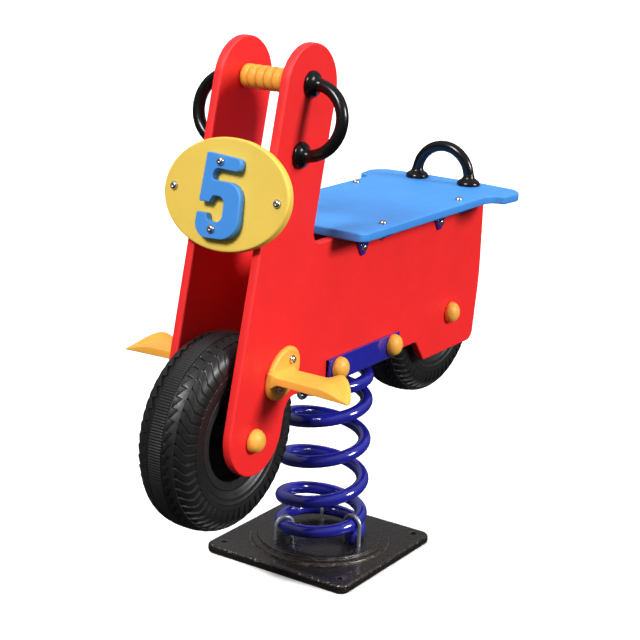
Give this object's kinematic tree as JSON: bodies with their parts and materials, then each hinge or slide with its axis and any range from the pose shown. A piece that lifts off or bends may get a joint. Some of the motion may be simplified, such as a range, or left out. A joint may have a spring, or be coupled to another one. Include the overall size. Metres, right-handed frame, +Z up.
{
  "type": "spring rocker",
  "caption": "Playground spring rider shaped like a trials motorcycle: side panels, wheels, seat, grab handles and footrests carried on one coil spring over a bolt-down base plate.",
  "frame": {"origin": "middle of the base plate's underside, on the ground", "axes": "+Z up; the rider faces -Y; +X is the rider's left"},
  "size_m": [0.4306, 0.922, 0.9035],
  "materials": {
    "blue_steel": "gloss powder coat over spring steel",
    "black_iron": "black hammered paint, worn brown at the edges",
    "zinc": "dull zinc plating",
    "stainless": "polished stainless",
    "red_sheet": "fine-grained polyethylene sheet",
    "blue_sheet": "fine-grained polyethylene sheet",
    "yellow_sheet": "fine-grained polyethylene sheet",
    "orange_plastic": "smooth moulded plastic",
    "black_plastic": "smooth moulded plastic",
    "tyre_rubber": "treaded rubber",
    "rim_paint": "satin dark grey paint"
  },
  "bodies": {
    "base": {"base_plate": "black_iron", "coil_hook_left": "zinc", "coil_hook_rear": "zinc", "coil_hook_front": "zinc", "spring_bottom": "blue_steel"},
    "pitch_link": {"spring_lower": "blue_steel"},
    "roll_link": {"spring_middle": "blue_steel"},
    "bounce_link": {"spring_upper": "blue_steel"},
    "rider": {"spring_neck": "blue_steel", "spring_top": "blue_steel", "saddle_channel": "blue_steel", "saddle_hook_front": "zinc", "saddle_bolt_front": "zinc", "front_axle": "zinc", "saddle_hook_rear": "zinc", "saddle_bolt_rear": "zinc", "rear_axle": "zinc", "side_panel_left": "red_sheet", "fork_handle_left": "black_plastic", "footrest_left": "orange_plastic", "sign_bracket_left": "blue_steel", "sign_bolt_left": "stainless", "front_axle_cap_left": "orange_plastic", "saddle_cap_front_left": "orange_plastic", "seat_bracket_front_left": "blue_steel", "seat_bolt_front_left": "stainless", "rear_axle_cap_left": "orange_plastic", "saddle_cap_rear_left": "orange_plastic", "seat_bracket_rear_left": "blue_steel", "seat_bolt_rear_left": "stainless", "footrest_screw_low_left": "stainless", "footrest_screw_high_left": "stainless", "side_panel_right": "red_sheet", "fork_handle_right": "black_plastic", "footrest_right": "orange_plastic", "sign_bracket_right": "blue_steel", "sign_bolt_right": "stainless", "front_axle_cap_right": "orange_plastic", "saddle_cap_front_right": "orange_plastic", "seat_bracket_front_right": "blue_steel", "seat_bolt_front_right": "stainless", "rear_axle_cap_right": "orange_plastic", "saddle_cap_rear_right": "orange_plastic", "seat_bracket_rear_right": "blue_steel", "seat_bolt_rear_right": "stainless", "footrest_screw_low_right": "stainless", "footrest_screw_high_right": "stainless", "seat_board": "blue_sheet", "seat_handle": "black_plastic", "grip_bar": "zinc", "sign_board": "yellow_sheet", "sign_figure": "blue_sheet", "sign_figure_screw_high": "stainless", "sign_figure_screw_low": "stainless"},
    "front_wheel": {"front_tyre": "tyre_rubber", "front_rim": "rim_paint"},
    "rear_wheel": {"rear_tyre": "tyre_rubber", "rear_rim": "rim_paint"},
    "grip": {"grip_roller": "orange_plastic"}
  },
  "joints": [
    {"name": "rock_fore_aft", "type": "hinge", "parent": "base", "child": "pitch_link", "pos_m": [0, 0, 0.097], "axis": [1, 0, 0], "range_deg": [-12, 12], "stiffness_Nm_per_rad": 800, "springref_deg": 0.11, "deforming": ["spring_lower"]},
    {"name": "rock_side", "type": "hinge", "parent": "pitch_link", "child": "roll_link", "pos_m": [0, 0, 0.158], "axis": [0, 1, 0], "range_deg": [-10, 10], "stiffness_Nm_per_rad": 800, "deforming": ["spring_middle"]},
    {"name": "bounce", "type": "slide", "parent": "roll_link", "child": "bounce_link", "axis": [0, 0, 1], "range_m": [-0.012, 0.006], "stiffness_N_per_m": 120000, "springref_m": 0.0016, "deforming": ["spring_upper"]},
    {"name": "twist", "type": "hinge", "parent": "bounce_link", "child": "rider", "pos_m": [0, 0, 0.28], "axis": [0, 0, 1], "range_deg": [-8, 8], "stiffness_Nm_per_rad": 1100, "deforming": ["spring_neck"]},
    {"name": "front_wheel_spin", "type": "hinge", "parent": "rider", "child": "front_wheel", "pos_m": [0, -0.309, 0.304], "axis": [1, 0, 0], "continuous": true},
    {"name": "rear_wheel_spin", "type": "hinge", "parent": "rider", "child": "rear_wheel", "pos_m": [0, 0.297, 0.381], "axis": [1, 0, 0], "continuous": true},
    {"name": "grip_spin", "type": "hinge", "parent": "rider", "child": "grip", "pos_m": [0, -0.187, 0.842], "axis": [1, 0, 0], "continuous": true}
  ]
}
